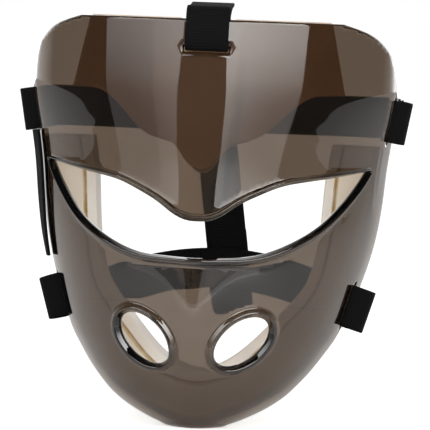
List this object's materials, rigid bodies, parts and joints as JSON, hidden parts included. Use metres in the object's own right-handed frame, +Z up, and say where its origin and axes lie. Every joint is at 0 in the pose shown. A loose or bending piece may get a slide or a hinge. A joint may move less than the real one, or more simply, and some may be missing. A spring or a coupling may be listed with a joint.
{
  "type": "field hockey face mask",
  "caption": "Moulded clear tinted face shell with an eye opening, breath holes, laminated foam pads and an elastic webbing head harness",
  "frame": {"origin": "where the middle of the wearer's head sits, on the mask's middle plane, level with the eye opening's low middle", "axes": "+Z up to the crown, -Y out of the mask's front, +X to the viewer's right"},
  "size_m": [0.2328, 0.194, 0.2433],
  "materials": {
    "tinted_shell": "gloss",
    "foam_outer": "matte",
    "foam_inner": "matte",
    "webbing": "matte",
    "elastic": "matte",
    "fleece": "matte",
    "thread": "satin"
  },
  "bodies": {
    "mask": {"shell": "tinted_shell", "cheek_pad_left": "foam_outer", "cheek_pad_right": "foam_outer", "cheek_liner_left": "foam_inner", "cheek_liner_right": "foam_inner", "chin_pad": "foam_outer", "chin_liner": "foam_inner", "forehead_pad": "foam_outer", "forehead_liner": "foam_inner", "crown_loop": "webbing", "temple_loop_left": "webbing", "temple_loop_right": "webbing", "jaw_loop_left": "webbing", "jaw_loop_right": "webbing", "side_tail_left": "webbing"},
    "harness": {"upper_band": "elastic", "lower_band": "elastic", "crown_strap": "elastic", "harness_stitching": "thread", "temple_fleece_left": "fleece", "temple_fleece_right": "fleece", "jaw_fleece_left": "fleece", "jaw_fleece_right": "fleece", "crown_fleece": "fleece"},
    "temple_tab_left": {"temple_tab_left": "webbing"},
    "temple_tab_right": {"temple_tab_right": "webbing"},
    "jaw_tab_left": {"jaw_tab_left": "webbing"},
    "jaw_tab_right": {"jaw_tab_right": "webbing"},
    "crown_tail": {"crown_tail": "webbing"}
  },
  "joints": [
    {"name": "harness_stretch", "type": "slide", "parent": "mask", "child": "harness", "axis": [0, 1, 0], "range_m": [0, 0.03], "stiffness_N_per_m": 400},
    {"name": "temple_tab_left_slide", "type": "slide", "parent": "harness", "child": "temple_tab_left", "axis": [-0.0007, 1, 0.0039], "range_m": [0, 0.015]},
    {"name": "temple_tab_right_slide", "type": "slide", "parent": "harness", "child": "temple_tab_right", "axis": [0.0007, 1, 0.0039], "range_m": [0, 0.015]},
    {"name": "jaw_tab_left_slide", "type": "slide", "parent": "harness", "child": "jaw_tab_left", "axis": [0.028, 0.9953, -0.0927], "range_m": [0, 0.015]},
    {"name": "jaw_tab_right_slide", "type": "slide", "parent": "harness", "child": "jaw_tab_right", "axis": [-0.028, 0.9953, -0.0927], "range_m": [0, 0.015]},
    {"name": "crown_tail_slide", "type": "slide", "parent": "harness", "child": "crown_tail", "axis": [-0.1358, 0, 0.9907], "range_m": [0, 0.015]}
  ]
}
